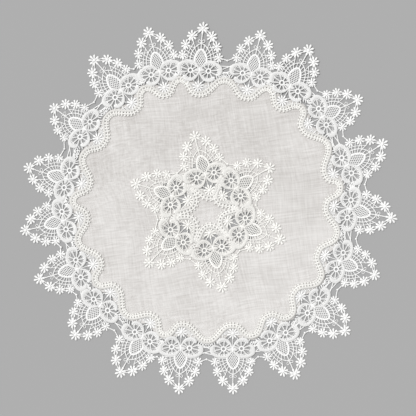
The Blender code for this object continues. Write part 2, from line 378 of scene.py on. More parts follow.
class ThreadMesh:
    """Gathers the cords and stitches of one piece of lace."""

    def __init__(self, box: StitchBox) -> None:
        """An empty mesh that takes its stitches from a box.

        Args:
            box: the stitches.
        """
        self.box = box
        self._points: list[Array] = []
        self._faces: list[tuple[int, ...]] = []
        self._thread: list[Array] = []
        self._count = 0

    def shape(self) -> Shape:
        """All that has been gathered, as one shape."""
        return Shape(np.vstack(self._points), self._faces, np.vstack(self._thread))

    def cord(
        self,
        line: Points,
        radius: float | Sequence[float],
        sides: int = 6,
        lift: float = 0.1,
        lay: Lay = Lay.TWISTED,
        closed: bool = False,
    ) -> None:
        """Adds a cord that lies along a line, flattened a little where it is wide.

        Args:
            line: its middle, in points (u, v).
            radius: half its width, one number or one a point.
            sides: the number of sides round it.
            lift: how far its underside is above what it lies on.
            lay: how its thread is wrapped.
            closed: whether it is a ring.
        """
        centre = np.asarray(line, float)
        half_width = np.broadcast_to(np.asarray(radius, float), len(centre))
        half_height = np.minimum(THIN_CORD * half_width, WIDE_CORD[0] + WIDE_CORD[1] * half_width)
        along = lengths_along(round_again(centre) if closed else centre)
        rings = np.column_stack([centre, left_of(centre, closed), half_width, half_height])
        if not closed:
            rings = np.vstack([self._past_end(rings[0], -1.0), rings, self._past_end(rings[-1], 1.0)])
            along = np.concatenate([along[:1], along, along[-1:]])
        count = len(rings)
        turn = 2.0 * math.pi * (np.arange(sides) + 0.5) / sides
        aside = rings[:, 4:5] * rings[:, 2:4]
        points = np.empty((count, sides, 3))
        points[:, :, :2] = rings[:, None, :2] + np.cos(turn)[None, :, None] * aside[:, None]
        points[:, :, 2] = lift + rings[:, 5].max() + np.sin(turn) * rings[:, 5:6]
        i = np.repeat(np.arange(count if closed else count - 1), sides)
        j = np.tile(np.arange(sides), len(i) // sides)
        ahead, onward = (i + 1) % count, (j + 1) % sides
        corners = [i * sides + j, i * sides + onward, ahead * sides + onward, ahead * sides + j]
        faces = np.stack(corners, 1).tolist()
        first, last = lay.value
        near, far = (first + (last - first) * (j + k) / sides for k in (0, 1))
        start, end = along[i], along[i + 1]
        thread = np.stack([start, near, start, far, end, far, end, near], 1).reshape(-1, 2)
        if not closed:
            faces += [range(sides - 1, -1, -1), range((count - 1) * sides, count * sides)]
            caps = np.repeat([[along[0], first], [along[-1], first]], sides, axis=0)
            thread = np.vstack([thread, caps])
        self._add(points.reshape(-1, 3), faces, thread)

    @staticmethod
    def _past_end(ring: Array, way: float) -> Array:
        """A smaller ring put past a cord's end, so that it ends round.

        Args:
            ring: the last ring's middle, the direction to its left, its half width and height.
            way: 1 past the cord's end, -1 before its start.

        Returns:
            The same numbers for the smaller ring.
        """
        ahead = way * np.array([ring[3], -ring[2]])
        return np.concatenate([ring[:2] + ahead * ring[4] * END_REACH, ring[2:4], ring[4:] * END_SIZE])

    def both(self, line: Points, radius: float, **options: object) -> None:
        """Adds a cord and its mirror image across the motif's middle."""
        for flip in BOTH_SIDES:
            self.cord(np.asarray(line, float) * flip, radius, **options)

    def strand(
        self, start: Point, end: Point, radius: float, step: float = STRAIGHT_STEP, **options: object
    ) -> None:
        """Adds a straight cord with a ring about every step."""
        self.cord(evenly(np.array([start, end]), step), radius, **options)

    def stamp(
        self, stitch: Shape, at: Point, size: Point, turn: float = 0.0, lift: float = 0.05
    ) -> None:
        """Adds a copy of a stitch.

        Args:
            stitch: the stitch, modelled about its own origin.
            at: where its origin goes, (u, v).
            size: what its length, width and height are multiplied by.
            turn: degrees it is turned to the left.
            lift: how far its origin is above what it lies on.
        """
        points = stitch.points * np.asarray(size, float)
        cosine, sine = heading_of(turn)
        u = at[0] + points[:, 0] * cosine - points[:, 1] * sine
        v = at[1] + points[:, 0] * sine + points[:, 1] * cosine
        thread = stitch.thread * np.array([size[0], 1.0])
        self._add(np.column_stack([u, v, points[:, 2] + lift]), stitch.faces, thread)

    def knob(
        self, stitch: Shape, at: Point, width: float, height: float, lift: float = 0.1
    ) -> None:
        """Adds a copy of a round stitch, as wide as it is long."""
        self.stamp(stitch, at, (width, width, height), lift=lift)

    def _add(self, points: Array, faces: Iterable[Iterable[int]], thread: Array) -> None:
        """Adds points, faces that count from the first of them, and thread coordinates.

        Args:
            points: rows (u, v, w).
            faces: each face's corner numbers.
            thread: one row for each corner of each face.
        """
        self._points.append(points)
        self._faces += [tuple(corner + self._count for corner in face) for face in faces]
        self._thread.append(thread)
        self._count += len(points)


# --- Finishes ---


class NodeBench:
    """A material whose nodes are wired one call at a time."""

    def __init__(self, name: str) -> None:
        """A new material with its shader and the Object coordinates, nothing wired.

        Args:
            name: the material's name.
        """
        self.material = bpy.data.materials.new(name)
        self.material.use_nodes = True
        self.tree = self.material.node_tree
        self.shader = self.tree.nodes["Principled BSDF"]
        self.place = self.node("ShaderNodeTexCoord", {}).outputs["Object"]

    def wire(self, node: bpy.types.Node, inputs: dict[str | int, object]) -> None:
        """Gives each of those inputs of a node its value or the socket that feeds it.

        Args:
            node: the node.
            inputs: for each input, a value or a socket.
        """
        for key, value in inputs.items():
            if isinstance(value, Socket):
                self.tree.links.new(value, node.inputs[key])
            else:
                node.inputs[key].default_value = value

    def node(self, kind: str, inputs: dict[str | int, object], **settings: object) -> bpy.types.Node:
        """Adds a node.

        Args:
            kind: its type's name.
            inputs: for each input, a value or the socket that feeds it.
            settings: the node's own options.

        Returns:
            The node.
        """
        made = self.tree.nodes.new(kind)
        for option, value in settings.items():
            setattr(made, option, value)
        self.wire(made, inputs)
        return made

    def maths(self, operation: str, *values: object) -> Socket:
        """The result of a Math node on one to three values or sockets."""
        return self.node("ShaderNodeMath", dict(enumerate(values)), operation=operation).outputs[0]

    def sine(self, turns: Socket, per_turn: float) -> Socket:
        """The sine of a value that counts up by per_turn at each full turn."""
        return self.maths("SINE", self.maths("MULTIPLY", turns, 2.0 * math.pi / per_turn))

    def vector_maths(self, operation: str, *values: object) -> Socket:
        """The result of a Vector Math node."""
        made = self.node("ShaderNodeVectorMath", dict(enumerate(values)), operation=operation)
        return made.outputs[0]

    def blend(self, *parts: tuple[Socket, float]) -> Socket:
        """The sum of some values, each multiplied by its own number.

        Args:
            parts: each value with its number.

        Returns:
            The sum.
        """
        total: Socket | float = 0.0
        for value, weight in parts:
            total = self.maths("MULTIPLY_ADD", value, weight, total)
        return total

    def split(self, vector: Socket) -> Sequence[Socket]:
        """The X, Y and Z of a vector."""
        return self.node("ShaderNodeSeparateXYZ", {"Vector": vector}).outputs

    def turned(self, vector: Socket, degrees: float, scale: Point) -> Socket:
        """Coordinates turned about Z by some degrees and then stretched.

        Args:
            vector: the coordinates.
            degrees: how far they are turned.
            scale: what X, Y and Z are then multiplied by.

        Returns:
            The new coordinates.
        """
        rotation = (0.0, 0.0, math.radians(degrees))
        flat = self.node("ShaderNodeMapping", {"Vector": vector, "Rotation": rotation})
        return self.node("ShaderNodeMapping", {"Vector": flat.outputs[0], "Scale": scale}).outputs[0]

    def noise(self, vector: Socket, scale: float, detail: float, roughness: float = 0.5) -> Socket:
        """Smooth noise from 0 to 1, about 0.5."""
        inputs = {"Vector": vector, "Scale": scale, "Detail": detail, "Roughness": roughness}
        return self.node("ShaderNodeTexNoise", inputs).outputs["Fac"]

    def finish(
        self,
        share: Socket,
        shades: tuple[Point, Point],
        roughness: float,
        sheen: float = 0.0,
        sheen_roughness: float = 0.5,
        specular: float = 0.25,
    ) -> Material:
        """Colours the surface and sets the numbers that are the same all over it.

        Args:
            share: how far each place is from the first shade to the second, from 0 to 1.
            shades: the two colours.
            roughness: the surface's roughness.
            sheen: the weight of its sheen.
            sheen_roughness: the sheen's roughness.
            specular: its specular level.

        Returns:
            The material.
        """
        dark, light = ((*shade, 1.0) for shade in shades)
        mix = self.node("ShaderNodeMix", {}, data_type="RGBA", clamp_factor=True)
        self.wire(mix, {0: share, 6: dark, 7: light})
        surface = {
            "Base Color": mix.outputs[2],
            "Metallic": 0.0,
            "Roughness": roughness,
            "Specular IOR Level": specular,
            "Sheen Weight": sheen,
            "Sheen Roughness": sheen_roughness,
        }
        self.wire(self.shader, surface)
        return self.material

    def bump(self, height: Socket, strength: float, distance: float) -> None:
        """Gives the surface a relief of that height, whose full depth is distance in metres."""
        inputs = {"Height": height, "Strength": strength, "Distance": distance}
        self.wire(self.shader, {"Normal": self.node("ShaderNodeBump", inputs).outputs[0]})


@dataclass(frozen=True)
class SlubbyLinen:
    """Natural off-white linen in plain weave, with thick and thin places in its yarns, painted shade
    in the hollows of its weave, and a painted falloff of light that makes it darker towards +Y.
    """

    shades: tuple[Point, Point] = ((0.489, 0.468, 0.448), (0.7, 0.684, 0.667))
    yarn_pitch: float = 0.62
    weft_angle: float = -8.0
    warp_angle: float = -9.0
    slub_length: float = 34.0
    slub_width: float = 1.5
    wander: float = 26.0
    drift_scale: float = 0.008
    cloud_scale: float = 0.022
    yarn_shares: tuple[float, float] = (0.62, 0.52)
    cloud_share: float = 0.4
    # Painted shade: how much darker the weave's hollows are painted than its raised yarns.
    weave_painted_shade_share: float = 0.12
    contrast: float = 2.25
    mean_tone: float = 1.23
    # Painted light: how much darker the linen is painted for each millimetre towards +Y, a falloff of
    # light across the cloth.
    painted_light_falloff: float = 0.0011
    slub_relief: float = 1.4
    relief: float = 0.00022
    roughness: float = 0.88
    sheen: float = 0.15

    def material(self) -> Material:
        """The finish as a material on Object coordinates.

        Returns:
            The material.
        """
        bench = NodeBench("slubby_linen")
        in_mm = bench.turned(bench.place, 0.0, (1 / MM,) * 3)
        drifting = {"Vector": in_mm, "Scale": self.drift_scale, "Detail": 1.0}
        drift = bench.node("ShaderNodeTexNoise", drifting)
        offset = bench.vector_maths("SUBTRACT", drift.outputs["Color"], (0.5,) * 3)
        pull = bench.vector_maths("MULTIPLY", offset, (self.wander,) * 3)
        pulled = bench.vector_maths("ADD", in_mm, pull)
        along, across = 1.0 / self.slub_length, 1.0 / self.slub_width
        yarns = (
            bench.noise(bench.turned(pulled, angle, scale), 1.0, 2.5, 0.6)
            for angle, scale in (
                (self.weft_angle, (along, across, 1.0)),
                (self.warp_angle, (across, along, 1.0)),
            )
        )
        slubs = bench.blend(*zip(yarns, self.yarn_shares))
        clouds = bench.noise(in_mm, self.cloud_scale, 2.0)
        tone = bench.blend((slubs, 1.0), (clouds, self.cloud_share))
        # Painted light: the colour is painted darker towards +Y, the top of the cloth, as a falloff of
        # light.
        tone_offset_with_painted_falloff = bench.maths("MULTIPLY_ADD", bench.split(in_mm)[1], -self.painted_light_falloff, -self.mean_tone)
        share = bench.maths("MULTIPLY_ADD", tone, self.contrast, tone_offset_with_painted_falloff)
        weave = self._weave(bench, pulled)
        bench.bump(bench.blend((slubs, self.slub_relief), (weave, 1.0)), 0.55, self.relief)
        # Painted shade: the weave's height also colours it, darker in the hollows between yarns and
        # lighter on the raised yarns.
        share = bench.blend((share, 1.0), (weave, self.weave_painted_shade_share))
        return bench.finish(share, self.shades, self.roughness, self.sheen)

    def _weave(self, bench: NodeBench, place: Socket) -> Socket:
        """The height of the plain weave from 0 to 1: rounded yarns that pass over and under.

        Args:
            bench: the material's nodes.
            place: coordinates in millimetres.

        Returns:
            The height.
        """
        per_yarn = 1.0 / self.yarn_pitch
        yarns = bench.turned(place, self.weft_angle, (per_yarn, per_yarn, 0.0))
        weft, warp = (bench.maths("ABSOLUTE", bench.sine(way, 2.0)) for way in bench.split(yarns)[:2])
        over = bench.node("ShaderNodeTexChecker", {"Vector": yarns, "Scale": 1.0}).outputs["Fac"]
        return bench.node("ShaderNodeMix", {0: over, 2: weft, 3: warp}, data_type="FLOAT").outputs[0]


@dataclass(frozen=True)
class LaceThread:
    """Cotton thread wrapped round cords and laid side by side in satin stitch, with painted shade in
    the grooves between its wraps and on its satin rows.
    """

    name: str
    shades: tuple[Point, Point]
    pitch: float = 0.42
    satin_pitch: float = 0.9
    satin_from: float = 1.5
    # Painted shade: how much darker satin-laid cords are painted, and how much that changes row by
    # row.
    satin_painted_shade: float = 0.5
    ply_painted_shade: float = 0.26
    fuzz_scale: float = 2600.0
    wear_scale: float = 60.0
    # Painted shade: how much darker the grooves between the thread's wraps are painted.
    painted_groove_shade_share: float = 0.5
    fuzz_share: float = 0.3
    wear_share: float = 0.5
    relief: float = 0.00014
    roughness: float = 0.62
    sheen: float = 0.25
    sheen_roughness: float = 0.4

    def material(self) -> Material:
        """The finish as a material on the thread's own coordinates.

        Returns:
            The material.
        """
        bench = NodeBench(self.name)
        thread = bench.node("ShaderNodeUVMap", {}, uv_map="thread").outputs[0]
        along, round_it = bench.split(thread)[:2]
        turns = bench.maths("MULTIPLY_ADD", along, 1.0 / self.pitch, round_it)
        # wound is the height of the wrapped thread; in the colour it paints shade, darker in the
        # grooves between wraps.
        wound = bench.maths("MULTIPLY_ADD", bench.sine(turns, 1.0), 0.5, 0.5)
        fuzz = bench.noise(bench.place, self.fuzz_scale, 2.0)
        wear = bench.noise(bench.place, self.wear_scale, 2.0)
        # Painted shade: satin-laid cords are painted darker overall and darker again in the grooves
        # between their rows, which also sink the relief there.
        ply = bench.sine(along, self.satin_pitch)
        satin = bench.maths("GREATER_THAN", round_it, self.satin_from)
        shade = bench.maths("MULTIPLY_ADD", ply, self.ply_painted_shade, self.satin_painted_shade)
        satin_grooves_and_painted_shade = (bench.maths("MULTIPLY", satin, shade), -1.0)
        shares = (self.painted_groove_shade_share, self.fuzz_share, self.wear_share)
        share = bench.blend(*zip((wound, fuzz, wear), shares), satin_grooves_and_painted_shade)
        relief = bench.blend((wound, 1.0), (fuzz, 0.5), satin_grooves_and_painted_shade)
        bench.bump(relief, 0.6, self.relief)
        return bench.finish(share, self.shades, self.roughness, self.sheen, self.sheen_roughness)


WHITE_THREAD = LaceThread("white_lace_thread", ((0.64, 0.638, 0.63), (0.94, 0.938, 0.93)))
CREAM_THREAD = LaceThread("cream_lace_thread", ((0.64, 0.63, 0.604), (0.94, 0.93, 0.895)))
MATT_THREAD = LaceThread("matt_lace_thread", ((0.6, 0.59, 0.566), (0.87, 0.86, 0.828)))


def floor_paint(grey: float = 0.3305, unevenness: float = 0.01) -> Material:
    """A plain pale matt paint for the floor, very slightly uneven.

    Args:
        grey: its mean grey.
        unevenness: how far it strays from that, as a part of it.

    Returns:
        The material.
    """
    bench = NodeBench("pale_floor")
    shades = [(grey * (1.0 + side * unevenness),) * 3 for side in (-1.0, 1.0)]
    return bench.finish(bench.noise(bench.place, 3.0, 1.0), shades, 0.95, specular=0.0)


# --- Where the scallops sit ---


@dataclass(frozen=True)
class Scallop:
    """One scallop's place: its knot's bearing and distance, its lean, and its reach to the tip.

    linen_past is how much further out than usual the linen ends below it, and lift is how
    far it rides up over a neighbour.
    """

    bearing: float
    knot: float
    lean: float
    reach: float
    linen_past: float = 0.0
    lift: float = 0.0

    def place(self, motif: Points) -> Array:
        """Points of the motif, (u, v) or (u, v, w), as points of the cloth.

        Args:
            motif: rows (u, v) or (u, v, w).

        Returns:
            The rows with X and Y for u and v.
        """
        placed = np.array(motif, float)
        u, v = placed[:, 0].copy(), placed[:, 1]
        v = np.where(v > 0.0, v * self.reach / USUAL_REACH, v)
        bearing, heading = math.radians(self.bearing), math.radians(self.bearing + self.lean)
        placed[:, 0] = math.sin(bearing) * self.knot + math.cos(heading) * u + math.sin(heading) * v
        placed[:, 1] = math.cos(bearing) * self.knot - math.sin(heading) * u + math.cos(heading) * v
        return placed

    def at(self, u: float, v: float) -> Array:
        """One point of the motif as a point of the cloth."""
        return self.place([(u, v)])[0]


EDGING_SCALLOPS = (
    Scallop(356.5, 147.0, 8.0, 45.5, 0.0, 0.5),
    Scallop(18.0, 149.5, -5.0, 43.0, 2.0),
    Scallop(34.0, 156.0, -7.0, 44.0, 0.0, 0.5),
    Scallop(51.5, 156.5, 13.0, 42.0, 0.5),
    Scallop(73.0, 155.0, -14.0, 44.5, 1.0),
    Scallop(90.5, 151.0, 11.5, 45.5),
    Scallop(112.0, 152.0, -0.5, 40.0, 1.0),
    Scallop(133.0, 153.5, -5.5, 43.5, 0.5),
    Scallop(151.5, 156.5, 3.5, 44.0, -1.0),
    Scallop(170.0, 153.0, 9.5, 42.0, 0.5),
    Scallop(191.0, 152.0, -8.5, 43.5, 1.5),
    Scallop(207.0, 154.5, 5.0, 44.5, 0.5),
    Scallop(228.0, 154.5, -8.0, 42.0),
    Scallop(245.0, 153.0, 10.0, 42.5, -0.5),
    Scallop(265.0, 154.5, -9.5, 42.0),
    Scallop(281.5, 154.0, 5.0, 42.0, 0.5),
    Scallop(302.5, 156.0, 2.0, 39.5),
    Scallop(323.5, 155.0, -5.0, 44.0, -0.5),
    Scallop(340.5, 153.5, 4.0, 44.0, -1.5),
)

STAR_SCALLOPS = (
    Scallop(355.5, 35.5, -11.0, 42.5),
    Scallop(54.5, 37.0, 4.5, 41.5),
    Scallop(118.0, 42.0, -9.0, 42.5),
    Scallop(172.5, 44.0, -5.0, 42.5),
    Scallop(228.0, 45.0, -2.0, 41.0),
    Scallop(289.0, 39.5, -0.5, 41.5),
)


def wavy_line(
    scallops: Sequence[Scallop],
    depth: Callable[[Scallop, float], float],
    parts: Sequence[float],
    squares_from: float,
) -> Array:
    """A closed line that passes behind the knots of a ring of scallops.

    Args:
        scallops: the ring of scallops, clockwise.
        depth: how deep the line runs behind a scallop's knot, at a part of the half span to
            the next knot from 0 to 1.
        parts: where the line is drawn, as parts of its half span between -1 and 1.
        squares_from: the part from which the depth is measured square to the line between
            the two knots, and no longer along the scallop's own lean.

    Returns:
        The points of the line, clockwise.
    """
    knots = [scallop.at(0.0, 0.0) for scallop in scallops]
    line = []
    for index, scallop in enumerate(scallops):
        for part in (*parts, 1.0):
            across = knots[(index + (1 if part > 0.0 else -1)) % len(scallops)] - knots[index]
            half_span = float(np.linalg.norm(across)) / 2.0
            inwards = np.array([across[1], -across[0]]) / (2.0 * half_span)
            inwards *= -np.sign(inwards @ knots[index])
            deep = depth(scallop, abs(part))
            own = scallop.at(half_span * part, -deep)
            square = knots[index] + across * abs(part) / 2.0 + inwards * deep
            share = smoothstep((abs(part) - squares_from) / (1.0 - squares_from))
            line.append(own * (1.0 - share) + square * share)
    return np.array(line)


# --- The linen ---


@dataclass
class LinenGround:
    """The round of linen: a closed thin sheet with a wavy cut edge and six windows."""

    thickness: float = 0.55
    rest: float = 0.05
    ripple: float = 0.22
    waves: tuple[tuple[float, float, float, float], ...] = (
        (0.45, 0.047, 0.021, 0.6),
        (0.35, 0.019, -0.058, 2.1),
        (0.25, 0.083, 0.031, 4.0),
        (0.20, -0.036, 0.096, 1.2),
    )
    grid: float = 2.6
    grid_reach: float = 160.0
    clear_of_edge: float = 0.45
    edge_parts: Floats = (0.0, 0.12, 0.27, 0.42, 0.6, 0.78, 1.0)
    edge_depths: Floats = (17.0, 16.0, 12.3, 10.2, 8.3, 5.9, 3.3)
    edge_step: float = 1.2
    notch: float = 0.42
    window_middle: float = -0.5
    window_half_size: tuple[float, float] = (16.5, 17.0)
    window_taper: float = 0.45
    window_sides: int = 60
    drop_starts: float = 0.6
    drop_ends: float = 4.6
    dropped: float = 0.05

    @cached_property
    def outline(self) -> Array:
        """The cut edge."""
        line = wavy_line(EDGING_SCALLOPS, self._edge_depth, np.linspace(-0.96, 0.96, 33), 0.0)
        return softened(evenly(line, self.edge_step, closed=True), 4)

    @cached_property
    def windows(self) -> list[Array]:
        """The outlines of the windows behind the star's scallops, narrower towards its middle.

        Returns:
            One closed outline for each scallop of the star.
        """
        turn = np.linspace(0.0, 2.0 * math.pi, self.window_sides, endpoint=False)
        taper = 1.0 - self.window_taper * np.maximum(0.0, -np.sin(turn))
        u = self.window_half_size[0] * taper * np.cos(turn)
        v = self.window_middle + self.window_half_size[1] * np.sin(turn)
        return [scallop.place(np.column_stack([u, v])) for scallop in STAR_SCALLOPS]

    def _edge_depth(self, scallop: Scallop, part: float) -> float:
        """How far behind a knot the linen ends, deepest in the notch round the inner flower."""
        depth = float(np.interp(part, self.edge_parts, self.edge_depths))
        return depth - scallop.linen_past * max(0.0, 1.0 - part / self.notch)

    def underside(self, points: Array) -> Array:
        """How far the linen's underside is off the floor: nearly flat, in long low ripples.

        Args:
            points: rows (X, Y).

        Returns:
            One height a point.
        """
        x, y = points[:, 0], points[:, 1]
        waves = sum(high * np.sin(a * x + b * y + start) for high, a, b, start in self.waves)
        return self.rest + self.ripple * (0.5 + 0.4 * waves)

    def top(self, points: Array) -> Array:
        """The height of the linen's upper face."""
        return self.underside(points) + self.thickness

    def _falling(self, points: Array, fall: Array) -> Array:
        """The height between the linen's upper face, at fall 0, and the floor, at 1."""
        return self.top(points) * (1.0 - fall) + self.dropped * fall

    def bed(self, points: Array) -> Array:
        """The height of what the edging lies on: the linen, and past its edge the floor.

        Args:
            points: rows (X, Y).

        Returns:
            One height a point.
        """
        outside = ~within(self.outline, points)
        past = np.where(outside, distance_to(self.outline, points, self.drop_ends), 0.0)
        fall = smoothstep((past - self.drop_starts) / (self.drop_ends - self.drop_starts))
        return self._falling(points, fall)

    def bed_of_star(self, points: Array) -> Array:
        """The height of what the star lies on: the linen, and nearly the floor in its windows.

        Args:
            points: rows (X, Y).

        Returns:
            One height a point.
        """
        fall = np.zeros(len(points))
        for window in self.windows:
            inside = np.flatnonzero(within(window, points))
            if len(inside):
                past = distance_to(window, points[inside], self.drop_ends)
                fall[inside] = smoothstep(past / self.drop_ends)
        return self._falling(points, fall)

    def _on_cloth(self, points: Array) -> Array:
        """Whether each point is inside the cut edge and outside the windows.

        Args:
            points: rows (X, Y).

        Returns:
            One truth value a point.
        """
        kept = within(self.outline, points)
        for window in self.windows:
            kept &= ~within(window, points)
        return kept

    def build(self) -> Shape:
        """The sheet's shape: an upper and a lower face with a wall along each cut edge.

        Returns:
            The closed shape.
        """
        rows = np.arange(-self.grid_reach, self.grid_reach, self.grid)
        x, y = np.meshgrid(rows, rows)
        x[1::2] += self.grid / 2.0
        inner = np.column_stack([x.ravel(), y.ravel()])
        inner = inner[self._on_cloth(inner)]
        points: list[Array] = []
        edges: list[tuple[int, int]] = []
        for loop in (self.outline, *self.windows):
            inner = inner[distance_to(loop, inner, self.grid) > self.grid * self.clear_of_edge]
            first, count = len(points), len(loop)
            points += [*loop]
            edges += [(first + k, first + (k + 1) % count) for k in range(count)]
        points += [*inner]
        made = delaunay_2d_cdt([Vector(point) for point in points], edges, [], 0, 1e-4)
        corners = np.array([tuple(corner) for corner in made[0]])
        triangles = np.array(made[2])
        triangles = triangles[self._on_cloth(corners[triangles].mean(axis=1))]
        used, triangles = np.unique(triangles, return_inverse=True)
        return self._closed(corners[used], triangles.reshape(-1, 3))

    def _closed(self, corners: Array, triangles: Array) -> Shape:
        """Two faces and a wall between them, from one flat set of triangles.

        Args:
            corners: rows (X, Y).
            triangles: their corner numbers, to the left seen from above.

        Returns:
            The closed shape.
        """
        count = len(corners)
        below = np.column_stack([corners, self.underside(corners)])
        above = np.column_stack([corners, self.top(corners)])
        sides = {(row[k], row[(k + 1) % 3]) for row in triangles.tolist() for k in range(3)}
        rim = sorted((a, b) for a, b in sides if (b, a) not in sides)
        faces = [(a + count, b + count, c + count) for a, b, c in triangles.tolist()]
        faces += [(c, b, a) for a, b, c in triangles.tolist()]
        faces += [(a, b, b + count, a + count) for a, b in rim]
        points = np.vstack([below, above])
        return Shape(points, faces, points[np.concatenate(faces), :2])

    def area(self) -> float:
        """The flat area of the cloth, in square metres.

        Returns:
            The area without the windows.
        """
        areas = []
        for loop in (self.outline, *self.windows):
            x, y = loop.T
            areas.append(abs(float(np.sum(np.roll(x, 1) * y - x * np.roll(y, 1)))) / 2.0)
        return (areas[0] - sum(areas[1:])) * MM * MM

    def dress(self, material: Material) -> bpy.types.Object:
        """Builds the cloth, smooth on its faces and crisp at its cut edge.

        Args:
            material: the linen's finish.

        Returns:
            The piece.
        """
        cloth = self.build().piece("linen_cloth", material)
        deselect_all()
        cloth.select_set(True)
        bpy.context.view_layer.objects.active = cloth
        bpy.ops.object.shade_smooth_by_angle(angle=math.radians(35.0))
        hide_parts("linen_ground")
        return cloth


# --- The motif ---


@dataclass(frozen=True)
class Flower:
    """A flower of slim satin petals about a padded button, each petal with its own reach."""

    u: float
    v: float
    radius: float
    petal_width: float = 2.3
    button_width: float = 3.4
    turn: float = 90.0
    reaches: Floats = (1.04, *[1.0] * 7)
    petal_height: float = 1.0
    button_height: float = 1.35
    button_lift: float = 0.05

    def build(self, mesh: ThreadMesh) -> None:
        """Adds the flower to a mesh.

        Args:
            mesh: what it is added to.
        """
        middle, satin_grooves_and_painted_shade = (self.u, self.v), 360.0 / len(self.reaches)
        for k, reach in enumerate(self.reaches):
            size = (self.radius * reach, self.petal_width, self.petal_height)
            mesh.stamp(mesh.box.petal, middle, size, self.turn + satin_grooves_and_painted_shade * k)
        mesh.knob(mesh.box.button, middle, self.button_width, self.button_height, self.button_lift)

    def mirrored(self) -> "Flower":
        """The same flower on the scallop's other side."""
        return replace(self, u=-self.u, turn=180.0 - self.turn)


@dataclass(frozen=True)
class CurvedPair:
    """A thin cord on a smooth route, and its mirror image."""

    route: Points
    step: float
    radius: float
    sides: int = 6
    lift: float = 0.1

    def build(self, mesh: ThreadMesh) -> Array:
        """Adds the two cords and gives the right one's middle.

        Args:
            mesh: what they are added to.

        Returns:
            The right cord's middle.
        """
        middle = smooth_through(self.route, self.step)
        mesh.both(middle, self.radius, sides=self.sides, lift=self.lift)
        return middle


@dataclass(frozen=True)
class Medallion:
    """The shield above the knot: a thick cord outline filled with a net of fine thread."""

    outline: Points = (
        (6.4, 7.6), (6.5, 10.4), (6.0, 13.4), (5.0, 16.2), (3.5, 18.8), (1.8, 20.5), (0.0, 21.1),
    )
    foot: Points = ((0.0, 2.6), (2.0, 4.6), (4.0, 6.6))
    cord_radius: float = 1.05
    net_pitch: float = 2.3
    net_row: float = 1.65
    net_radius: float = 0.39
    net_middle: float = 11.0
    net_reach: float = 14.0
    net_cords: int = 5

    def crown(self) -> Array:
        """The outline from its right foot over the top to its left foot."""
        right = np.array(self.outline)
        return smooth_through(np.vstack([right, right[-2::-1] * MIRRORED]), 1.1)

    def build(self, mesh: ThreadMesh) -> None:
        """Adds the outline, and the net's slanted cords as far as they lie inside it.

        Args:
            mesh: what it is added to.
        """
        crown, foot = self.crown(), np.array(self.foot)
        mesh.cord(crown, self.cord_radius, sides=8, lift=0.12)
        border = np.vstack([foot, crown, foot[:0:-1] * MIRRORED])
        slope = self.net_row / (self.net_pitch / 2.0)
        slant = np.array([1.0, slope]) / math.hypot(1.0, slope)
        along = np.linspace(-self.net_reach, self.net_reach, 90)[:, None] * slant
        for flip in BOTH_SIDES:
            for k in range(-self.net_cords, self.net_cords + 1):
                samples = np.array([k * self.net_pitch, self.net_middle]) + along * flip
                inside = np.flatnonzero(within(border, samples))
                if len(inside) > 4:
                    first, last = samples[inside[[0, -1]]]
                    mesh.strand(first, last, self.net_radius, 3.0, lift=0.3)


